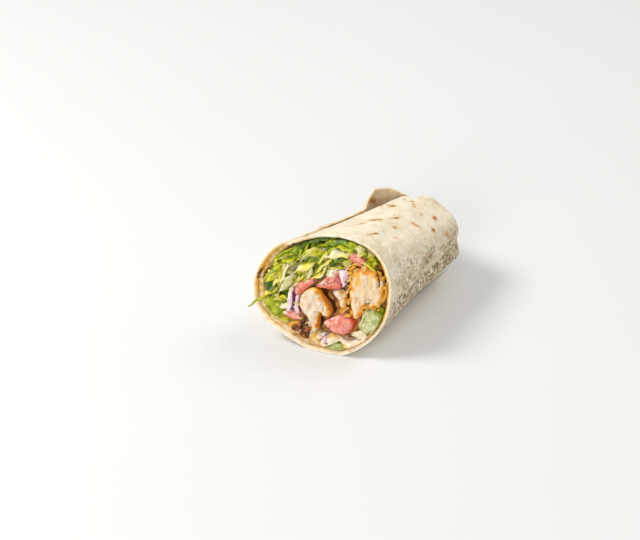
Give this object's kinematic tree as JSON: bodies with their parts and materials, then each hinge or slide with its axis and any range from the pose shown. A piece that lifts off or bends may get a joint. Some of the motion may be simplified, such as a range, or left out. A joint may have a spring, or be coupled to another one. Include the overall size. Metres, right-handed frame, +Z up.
{
  "type": "wrap sandwich half",
  "caption": "Half of a chicken kebab wrap lying on its side: rolled flatbread cut on the slant, filled with chicken, salad, tomato, onion and cucumber.",
  "frame": {"origin": "middle of the footprint, on the surface the wrap lies on", "axes": "+Z up; +Y along the roll from the slanted cut face to the folded end; +X to the right as seen when looking at the cut face"},
  "size_m": [0.0728, 0.124, 0.0662],
  "materials": {
    "bread": "soft, dry baked flatbread with toasted spots and a little flour",
    "lettuce": "moist leaf, pale ribs to mid green",
    "chicken": "cooked chicken, pale inside",
    "sear": "seared, spiced chicken edge",
    "char": "charred chicken edge",
    "tomato": "wet cut tomato under pale sauce",
    "onion": "raw onion, white with purple lines",
    "cucumber": "wet cut cucumber, pale inside, green skin"
  },
  "bodies": {
    "root": {"flatbread": "bread", "chicken_left": "chicken", "chicken_right": "chicken", "chicken_seared_edge": "sear", "chicken_middle": "chicken", "chicken_shred_right": "sear", "chicken_charred_left": "char", "chicken_charred_outer": "sear", "tomato_lower": "tomato", "tomato_upper": "tomato", "tomato_middle": "tomato", "onion_middle": "onion", "tomato_left": "tomato", "tomato_lower_left": "tomato", "onion_left_outer": "onion", "onion_left_inner": "onion", "onion_bottom": "onion", "cucumber_right": "cucumber", "cucumber_bottom": "cucumber", "cucumber_upper": "cucumber", "lettuce": "lettuce"}
  },
  "joints": []
}
